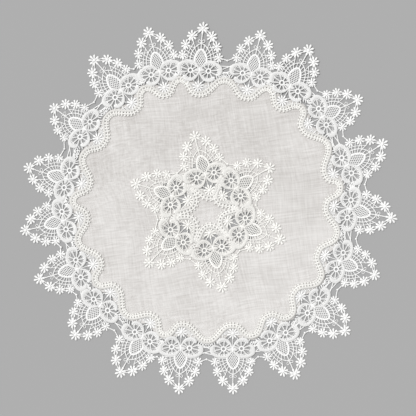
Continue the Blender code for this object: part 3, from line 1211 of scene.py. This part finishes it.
@dataclass(frozen=True)
class Wing:
    """One wing: a satin band that ends in a crescent, a lower lobe, and a ring on spokes between.

    The bands' rows are u, v and the half width there, and a hanger's are u, v and u, v.
    """

    upper: Points = (
        (0.4, 0.4, 1.0), (1.7, 2.7, 1.1), (3.4, 5.3, 1.2), (5.8, 7.3, 1.35), (9.2, 8.2, 1.45),
        (13.0, 8.3, 1.5), (16.8, 7.6, 1.6), (19.9, 6.0, 1.85), (21.7, 3.7, 2.3),
        (22.1, 1.0, 2.5), (21.5, -1.5, 2.15), (20.3, -3.2, 1.5), (18.4, -3.8, 0.8),
    )
    lower: Points = (
        (0.4, -0.6, 0.85), (1.2, -3.4, 1.0), (2.8, -6.5, 1.2), (5.2, -9.0, 1.45),
        (8.4, -10.4, 1.65), (11.8, -10.3, 1.85), (14.5, -9.0, 2.0), (15.8, -6.9, 1.65),
    )
    vein: CurvedPair = CurvedPair(
        ((4.6, 4.3), (7.0, 5.4), (10.0, 5.8), (13.4, 5.3), (16.4, 4.2), (18.9, 2.2)),
        1.4, 0.36, sides=5, lift=0.05,
    )
    ring_at: Point = (9.6, -0.4)
    ring_radius: float = 3.2
    ring_height: float = 1.6
    spokes: Floats = (12.0, 52.0, 96.0, 142.0, 199.0, 224.0, 265.0, 308.0, 340.0)
    spoke_radii: tuple[float, float] = (0.7, 1.15)
    spokes_from: float = 0.9
    stem_from: float = 0.8
    stem_to: float = 1.5
    stem_radius: float = 0.6
    bead_step: float = 2.2
    bead_width: float = 1.7
    bead_gap: float = 0.25
    hangers: Points = (
        (20.9, -4.4, 22.6, -7.6), (18.6, -4.4, 20.0, -7.8), (16.6, -8.0, 18.4, -10.2),
        (13.8, -11.0, 15.2, -13.6), (10.2, -12.0, 11.6, -16.4),
    )
    hanger_radius: float = 0.6

    def build(self, mesh: ThreadMesh) -> None:
        """Adds the wing and its mirror image.

        Args:
            mesh: what it is added to.
        """
        self.vein.build(mesh)
        for flip in BOTH_SIDES:
            centre = self.ring_at * flip
            bands = [
                smooth_through(band * np.array([*flip, 1.0]), 1.1) for band in (self.upper, self.lower)
            ]
            for band in bands:
                mesh.cord(band[:, :2], band[:, 2], sides=10, lift=0.08, lay=Lay.SATIN)
                self._scalloped_edge(mesh, evenly(band, self.bead_step)[3:-1], centre)
            mesh.knob(mesh.box.ring, centre, self.ring_radius, self.ring_height, lift=0.08)
            for angle in self.spokes:
                towards = heading_of(angle) * flip
                start = centre + towards * self.ring_radius * self.spokes_from
                spoke = evenly(np.array([start, first_crossing(centre, towards, bands)]), 2.0)
                widths = np.linspace(*self.spoke_radii, len(spoke))
                mesh.cord(spoke, widths, lift=0.04, lay=Lay.SATIN)
            stem = centre - flip * (self.ring_radius * self.stem_from, 0.0)
            mesh.strand(stem, flip * (self.stem_to, 0.0), self.stem_radius, 1.6)
            for hanger in self.hangers:
                start, end = np.reshape(hanger, (2, 2)) * flip
                mesh.strand(start, end, self.hanger_radius, 2.2, sides=5, lift=0.06)

    def _scalloped_edge(self, mesh: ThreadMesh, stops: Array, centre: Array) -> None:
        """Adds a row of small padded stitches inside a band, so that its gaps end round.

        Args:
            mesh: what it is added to.
            stops: rows of u, v and the band's half width.
            centre: the ring's middle.
        """
        for stop in stops:
            towards = centre - stop[:2]
            at = stop[:2] + towards / np.linalg.norm(towards) * (stop[2] + self.bead_gap)
            mesh.knob(mesh.box.bead, at, self.bead_width, 1.0, lift=0.12)


@dataclass(frozen=True)
class Knot:
    """The padded bow where the wings meet: two lobes and a crossing band."""

    lobe: Points = ((0.2, 0.0), (2.0, 0.1), (4.2, 0.4))
    lobe_radii: Floats = (1.4, 2.1, 1.6)
    band: Points = ((0.0, -2.5), (0.0, 0.0), (0.0, 2.5))
    band_radii: Floats = (0.8, 1.3, 0.9)

    def build(self, mesh: ThreadMesh) -> None:
        """Adds the bow."""
        mesh.both(self.lobe, self.lobe_radii, sides=8, lift=0.3, lay=Lay.SATIN)
        mesh.cord(self.band, self.band_radii, sides=8, lift=0.5)


@dataclass(frozen=True)
class NetOfCords:
    """The open field between the medallion, the wings and the edge flowers."""

    arc: CurvedPair = CurvedPair(
        (
            (11.3, 8.8), (11.0, 12.4), (10.2, 16.2), (8.8, 19.5), (6.7, 22.5), (3.5, 25.6),
            (0.0, 27.2),
        ),
        1.2, 0.56,
    )
    outer_arc: CurvedPair = CurvedPair(
        ((14.7, 8.6), (14.4, 12.5), (13.4, 16.8), (11.9, 20.6), (9.9, 24.4), (7.9, 28.0)),
        1.4, 0.46, lift=0.08,
    )
    loop: CurvedPair = CurvedPair(
        ((0.3, 29.2), (2.4, 30.9), (3.7, 29.5), (2.4, 28.0), (0.6, 28.2)), 0.9, 0.42, sides=5
    )
    crossing: Point = (6.7, 22.5)
    crossing_bead: tuple[float, float] = (2.2, 1.3)
    summit: Point = (0.0, 27.2)
    summit_bead: tuple[float, float] = (2.1, 1.2)
    crown_top: Point = (0.0, 21.1)
    hub: Point = (0.0, 10.0)
    edge_foot: Point = (19.7, 6.0)
    short_rays: Floats = (60.0, 76.0)
    long_rays: Floats = (0.0, 15.0, 30.0, 45.0)
    ray_radius: float = 0.46
    flower_cord_radius: float = 0.48
    spine_radius: float = 0.62

    def build(self, mesh: ThreadMesh, crown: Array, flowers: Sequence[Flower]) -> None:
        """Adds the arcs, the cords that cross them and the cords to the flowers.

        Args:
            mesh: what they are added to.
            crown: the medallion's outline, right foot to left foot.
            flowers: the tip flower and then the right side's, from the tip down.
        """
        arc, _, _ = (pair.build(mesh) for pair in (self.arc, self.outer_arc, self.loop))
        stops = [(flower.u, flower.v) for flower in flowers]
        edge = np.array([*stops, self.edge_foot])
        for rays, last in ((self.short_rays, arc), (self.long_rays, edge)):
            for towards in map(heading_of, rays):
                ends = [first_crossing(np.array(self.hub), towards, [line]) for line in (crown, last)]
                mesh.both(evenly(np.array(ends), STRAIGHT_STEP), self.ray_radius)
        for head in ((0.0, stops[0][1] - 1.0), self.crown_top):
            mesh.strand(self.summit, head, self.spine_radius, 2.5, lift=0.12)
        mesh.knob(mesh.box.bead, self.summit, *self.summit_bead)
        for flip in BOTH_SIDES:
            cross = self.crossing * flip
            for stop in stops[1:3]:
                mesh.strand(cross, stop * flip, self.flower_cord_radius, lift=0.14)
            mesh.knob(mesh.box.bead, cross, *self.crossing_bead)


INNER_FLOWER = Flower(
    0.0, -17.2, 6.7, petal_width=2.1, reaches=(1.0, 0.92) * 5, petal_height=0.9,
    button_height=1.2, button_lift=0.1,
)


@dataclass(frozen=True)
class LaceMotif:
    """One whole scallop without its heading."""

    tip: Flower = Flower(0.0, 42.7, 6.3)
    side_flowers: tuple[Flower, ...] = (
        Flower(10.5, 34.5, 5.8, 2.25, 3.2, 80.0),
        Flower(16.7, 24.9, 5.4, 2.0, 2.8, 102.0),
        Flower(19.3, 14.2, 5.0, 1.85, 2.5, 75.0),
    )
    stem: Points = ((0.0, -11.0), (0.0, -7.0), (0.0, -2.0))
    stem_radius: float = 0.42
    branch: CurvedPair = CurvedPair(((4.4, -12.4), (5.2, -10.8), (5.6, -9.4)), 1.5, 0.52)
    edge_radius: float = 0.5
    edge_spread: float = 1.05
    wing_ties: tuple[tuple[Points, float], ...] = (
        (((19.3, 14.2), (19.5, 10.5), (18.9, 7.0)), 0.5),
        (((17.8, 14.2), (16.2, 11.4), (15.4, 8.6)), 0.36),
    )

    def build(self, box: StitchBox) -> Shape:
        """The motif's shape in its own frame.

        Args:
            box: the stitches.

        Returns:
            The shape.
        """
        mesh = ThreadMesh(box)
        flowers = (self.tip, *self.side_flowers)
        for flower in (*flowers, *(f.mirrored() for f in self.side_flowers), INNER_FLOWER):
            flower.build(mesh)
        self._edge_cords(mesh, np.array([(flower.u, flower.v) for flower in flowers]))
        medallion = Medallion()
        for part in (medallion, Wing(), Knot(), self.branch):
            part.build(mesh)
        mesh.cord(self.stem, self.stem_radius)
        NetOfCords().build(mesh, medallion.crown(), flowers)
        return mesh.shape()

    def _edge_cords(self, mesh: ThreadMesh, stops: Array) -> None:
        """Adds the doubled cords that join the edge flowers and tie the last one to the wing.

        Args:
            mesh: what they are added to.
            stops: the flowers' middles, from the tip down.
        """
        for first in range(len(stops) - 1):
            ends = stops[first : first + 2]
            for way in (1.0, -1.0):
                line = ends + left_of(ends) * way * self.edge_spread
                mesh.both(evenly(line, STRAIGHT_STEP), self.edge_radius, sides=5, lift=0.08)
        for route, radius in self.wing_ties:
            mesh.both(route, radius, sides=5, lift=0.08)


# --- Rings of lace ---


@dataclass(frozen=True)
class LadderHeading:
    """The wavy heading: two cords, rungs between them and picots on the linen side.

    Its middle runs valley deep between two knots and depth deeper behind a knot. It rises from
    the part round_to of the half span to round_from; squares_from is as in wavy_line.
    """

    valley: float
    depth: float
    round_from: float
    round_to: float
    squares_from: float
    inner_at: float = 1.5
    inner_radius: float = 0.92
    outer_at: float = 1.6
    outer_radius: float = 1.45
    rung_step: float = 3.08
    rung_radius: float = 1.32
    picot_at: float = 3.2
    picot_width: float = 2.5
    picot_height: float = 1.15
    stalk_radius: float = 0.4
    softness: int = 30

    def _depth(self, _: Scallop, part: float) -> float:
        """How deep the heading's middle runs behind a knot."""
        rise = (self.round_to - part) / (self.round_to - self.round_from)
        return self.valley + self.depth * float(smoothstep(rise))

    def line(self, scallops: Sequence[Scallop]) -> Array:
        """The heading's middle, about every half millimetre, with its crests rounded."""
        raw = wavy_line(scallops, self._depth, np.linspace(-0.97, 0.97, 41), self.squares_from)
        return softened(evenly(raw, 0.6, closed=True), self.softness)

    def build(self, mesh: ThreadMesh, line: Array) -> None:
        """Adds the ladder along a closed line that runs clockwise.

        Args:
            mesh: what it is added to.
            line: the heading's middle.
        """
        outwards = left_of(line, closed=True)
        for at, radius, lay in (
            (self.outer_at, self.outer_radius, Lay.SATIN),
            (-self.inner_at, self.inner_radius, Lay.TWISTED),
        ):
            offset = evenly(line + outwards * at, 0.9, closed=True)
            mesh.cord(offset, radius, lift=0.15, lay=lay, closed=True)
        count = round(lengths_along(round_again(line))[-1] / self.rung_step)
        for index in (np.arange(count) * len(line) / count).astype(int):
            middle, out = line[index], outwards[index]
            picot, inner = middle - out * self.picot_at, middle - out * self.inner_at
            mesh.strand(inner, middle + out * self.outer_at, self.rung_radius)
            mesh.cord([picot, inner], self.stalk_radius, sides=5)
            mesh.knob(mesh.box.bead, picot, self.picot_width, self.picot_height, lift=0.05)


@dataclass(frozen=True)
class LaceRing:
    """A ring of scallops with its heading, its field cords and the links between neighbours."""

    name: str
    node: str
    scallops: Sequence[Scallop]
    heading: LadderHeading
    bed: Callable[[Array], Array]
    pull: float = 0.28
    rays: Floats = (
        160.0, 169.0, 178.0, 188.0, 199.0, 211.0, 224.0, 239.0, 254.0, 270.0,
        286.0, 301.0, 316.0, 329.0, 341.0, 352.0, 362.0, 371.0, 380.0,
    )
    ray_starts: float = 5.6
    ray_stops_short: float = 1.2
    arc_stops_short: float = 2.0
    longest_ray: float = 26.0
    shortest_ray: float = 8.5
    ray_radius: float = 0.46
    arc_reaches: Floats = (8.4, 11.4, 14.6, 18.0)
    arc_radius: float = 0.42
    link_foot: Point = (19.6, 14.4)
    link_sag: float = 3.4
    link_sag_share: float = 0.35
    link_bead: tuple[float, float] = (2.6, 1.5)
    link_radius: float = 0.6
    shortest_link: float = 5.0
    ties: Points = ((6.0, 3.4), (1.4, 5.4), (-2.6, -1.0), (0.4, -3.6))
    tie_foot: float = 21.5
    tie_radius: float = 0.58
    fan: Floats = (-80.0, -54.0, -27.0, 0.0, 27.0, 54.0, 80.0)
    fan_from: float = 1.2
    fan_reach: float = 5.6
    fan_radius: float = 0.52

    def dress(
        self, motif: Shape, box: StitchBox, thread: Material, heading_thread: Material
    ) -> list[bpy.types.Object]:
        """Builds every piece of the ring.

        Args:
            motif: the scallop in its own frame.
            box: the stitches.
            thread: the finish of the scallops and of the cords between them.
            heading_thread: the finish of the heading.

        Returns:
            The pieces.
        """
        pieces = [
            self._laid(self._placed(motif, index), f"scallop_{index + 1:02d}", thread)
            for index in range(len(self.scallops))
        ]
        line = self.heading.line(self.scallops)
        ladder, cords = ThreadMesh(box), ThreadMesh(box)
        self.heading.build(ladder, line)
        pieces.append(self._laid(ladder.shape(), "heading", heading_thread))
        self._field(cords, line)
        for scallop, following in zip(self.scallops, (*self.scallops[1:], self.scallops[0])):
            self._links(cords, scallop, following)
            self._fan(cords, scallop, following)
        pieces.append(self._laid(cords.shape(), "field", thread))
        return pieces

    def _placed(self, motif: Shape, index: int) -> Shape:
        """The motif in one scallop's place, pulled a little by hand.

        Args:
            motif: the scallop in its own frame.
            index: its number in the ring, from 0.

        Returns:
            The scallop in cloth coordinates.
        """
        u, v = motif.points[:, 0], motif.points[:, 1]
        points, phase = motif.points.copy(), 0.9 * index
        points[:, 0] += self.pull * np.sin(0.16 * v + phase)
        points[:, 1] += self.pull * np.sin(0.19 * u + 1.7 * phase)
        placed = self.scallops[index].place(points)
        placed[:, 2] += self.scallops[index].lift
        return replace(motif, points=placed)

    def _laid(self, shape: Shape, name: str, material: Material) -> bpy.types.Object:
        """A shape drawn in cloth coordinates, as a piece that lies on its bed.

        Args:
            shape: the piece, its heights measured from the bed.
            name: its name within the ring.
            material: its finish.

        Returns:
            The piece.
        """
        points = shape.points.copy()
        points[:, 2] += self.bed(points[:, :2])
        piece = replace(shape, points=points).piece(f"{self.name}_{name}", material)
        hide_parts(self.node)
        return piece

    def _field(self, mesh: ThreadMesh, line: Array) -> None:
        """Adds the cords from each inner flower to the heading, with thin arcs across them.

        Args:
            mesh: what they are added to.
            line: the heading's middle.
        """
        heading = [round_again(line)]
        for scallop in self.scallops:
            centre = scallop.at(0.0, INNER_FLOWER.v)
            arcs: list[list[Array]] = [[] for _ in self.arc_reaches]
            for u, v in map(heading_of, self.rays):
                towards = scallop.at(u, INNER_FLOWER.v + v) - centre
                meets = first_crossing(centre, towards, heading)
                if meets is None:
                    continue
                reach = min(float(np.linalg.norm(meets - centre)), self.longest_ray)
                if reach > self.shortest_ray:
                    start = centre + towards * self.ray_starts
                    end = centre + towards * (reach - self.ray_stops_short)
                    mesh.strand(start, end, self.ray_radius, sides=5)
                for arc, far in zip(arcs, self.arc_reaches):
                    arc.append(centre + towards * min(far, reach - self.arc_stops_short))
            for arc in arcs:
                mesh.cord(smooth_through(arc, 1.3), self.arc_radius, sides=5, lift=0.08)

    def _links(self, mesh: ThreadMesh, scallop: Scallop, following: Scallop) -> None:
        """Adds the tie of two neighbours with its bead, and the cords between their wings.

        Args:
            mesh: what it is added to.
            scallop: the first of the two.
            following: its neighbour, clockwise.
        """
        u, v = self.link_foot
        start, end = scallop.at(u, v), following.at(-u, v)
        gap = float(np.linalg.norm(end - start))
        if gap > self.shortest_link:
            inwards = -(start + end) / np.linalg.norm(start + end)
            bead = (start + end) / 2.0 + inwards * min(self.link_sag, gap * self.link_sag_share)
            for foot in (start, end):
                mesh.strand(foot, bead, self.link_radius, 2.2)
            mesh.knob(mesh.box.bead, bead, *self.link_bead)
        onwards = following.at(0.0, 0.0) - scallop.at(0.0, 0.0)
        for near_height, far_height in self.ties:
            near = scallop.at(self.tie_foot, near_height)
            far = following.at(-self.tie_foot, far_height)
            if (far - near) @ onwards > 0.0:
                mesh.strand(near, far, self.tie_radius, 2.2, lift=0.08)

    def _fan(self, mesh: ThreadMesh, scallop: Scallop, following: Scallop) -> None:
        """Adds the short cords that stand out from a crest of the heading, and their arch.

        Args:
            mesh: what it is added to.
            scallop: the first of the two.
            following: its neighbour, clockwise.
        """
        half = float(np.linalg.norm(following.at(0.0, 0.0) - scallop.at(0.0, 0.0))) / 2.0
        valley = -self.heading.valley
        crest = (scallop.at(half, valley) + following.at(-half, valley)) / 2.0
        outwards = crest / np.linalg.norm(crest)
        aside = np.array([outwards[1], -outwards[0]])
        ends = []
        for cosine, sine in map(heading_of, self.fan):
            towards = outwards * cosine + aside * sine
            ends.append(crest + towards * self.fan_reach)
            mesh.strand(crest + towards * self.fan_from, ends[-1], self.fan_radius, 2.2)
        mesh.cord(smooth_through(ends, 1.4), 0.5)


# --- The studio ---


@dataclass(frozen=True)
class Studio:
    """The floor, the lights and the camera straight above."""

    floor_size: float = 8.0
    field_width: float = 0.4439
    lens: float = 85.0
    sensor: float = 36.0
    light_from: tuple[float, float] = (-0.83, 0.56)
    light_elevation: float = 46.0
    light_angle: float = 12.0
    key_share: float = 0.45
    brightness: float = 1.3

    def build(self) -> None:
        """Makes the floor, the key light, the sky and the camera."""
        self._floor()
        self._key()
        self._sky()
        self._camera()
        bpy.context.scene.view_settings.view_transform = "Standard"

    def _floor(self) -> None:
        """A plain floor under the cloth."""
        deselect_all()
        bpy.ops.mesh.primitive_plane_add(size=self.floor_size, location=(0.0, 0.0, 0.0))
        floor = bpy.context.object
        floor.name = "studio_floor"
        floor.data.materials.append(floor_paint())

    def _key(self) -> None:
        """One soft light from the upper left, rather low, so that the cords cast short shadows."""
        lamp = bpy.data.lights.new("key_light", "SUN")
        rise = math.radians(self.light_elevation)
        lamp.energy = math.pi * self.brightness * self.key_share / math.sin(rise)
        lamp.angle = math.radians(self.light_angle)
        key = bpy.data.objects.new("key_light", lamp)
        aside = Vector(self.light_from).normalized() * math.cos(rise)
        source = Vector((aside.x, aside.y, math.sin(rise)))
        key.rotation_euler = (-source).to_track_quat("-Z", "Y").to_euler()
        bpy.context.scene.collection.objects.link(key)

    def _sky(self) -> None:
        """Even light from all round."""
        world = bpy.data.worlds.new("soft_sky")
        world.use_nodes = True
        backdrop = world.node_tree.nodes["Background"]
        share = self.brightness * (1.0 - self.key_share)
        backdrop.inputs["Color"].default_value = (share, share, share, 1.0)
        backdrop.inputs["Strength"].default_value = 1.0
        bpy.context.scene.world = world

    def _camera(self) -> None:
        """The camera, straight above the middle of the cloth."""
        eye = bpy.data.cameras.new("overhead")
        eye.lens = self.lens
        eye.sensor_width = self.sensor
        camera = bpy.data.objects.new("overhead", eye)
        camera.location = (0.0, 0.0, self.field_width * self.lens / self.sensor)
        bpy.context.scene.collection.objects.link(camera)
        bpy.context.scene.camera = camera


def triangles_in(piece: bpy.types.Object) -> int:
    """The number of triangles of a mesh object."""
    return sum(len(polygon.vertices) - 2 for polygon in piece.data.polygons)


def main() -> None:
    """Builds the cloth, its lace and the studio."""
    logging.basicConfig(level=logging.INFO, format="%(message)s")
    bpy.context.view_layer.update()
    ground = LinenGround()
    cloth = ground.dress(SlubbyLinen().material())
    box = StitchBox.filled()
    motif = LaceMotif().build(box)
    edging_heading = LadderHeading(8.0, 17.0, 0.15, 0.92, 0.0)
    star_heading = LadderHeading(0.5, 24.5, 0.1, 1.25, 0.75)
    edging = LaceRing("edging", "lace_edging", EDGING_SCALLOPS, edging_heading, ground.bed)
    star = LaceRing("star", "lace_star", STAR_SCALLOPS, star_heading, ground.bed_of_star)
    white, cream, matt = (thread.material() for thread in (WHITE_THREAD, CREAM_THREAD, MATT_THREAD))
    lace_pieces = edging.dress(motif, box, white, matt) + star.dress(motif, box, cream, matt)
    for piece in (cloth, *lace_pieces):
        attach(piece, "root")
        LOG.info("%s: %d triangles", piece.name, triangles_in(piece))
    width, length = (float(np.ptp(ground.outline[:, k])) * MM for k in (0, 1))
    ground.area()
    Studio().build()


if __name__ == "__main__":
    main()
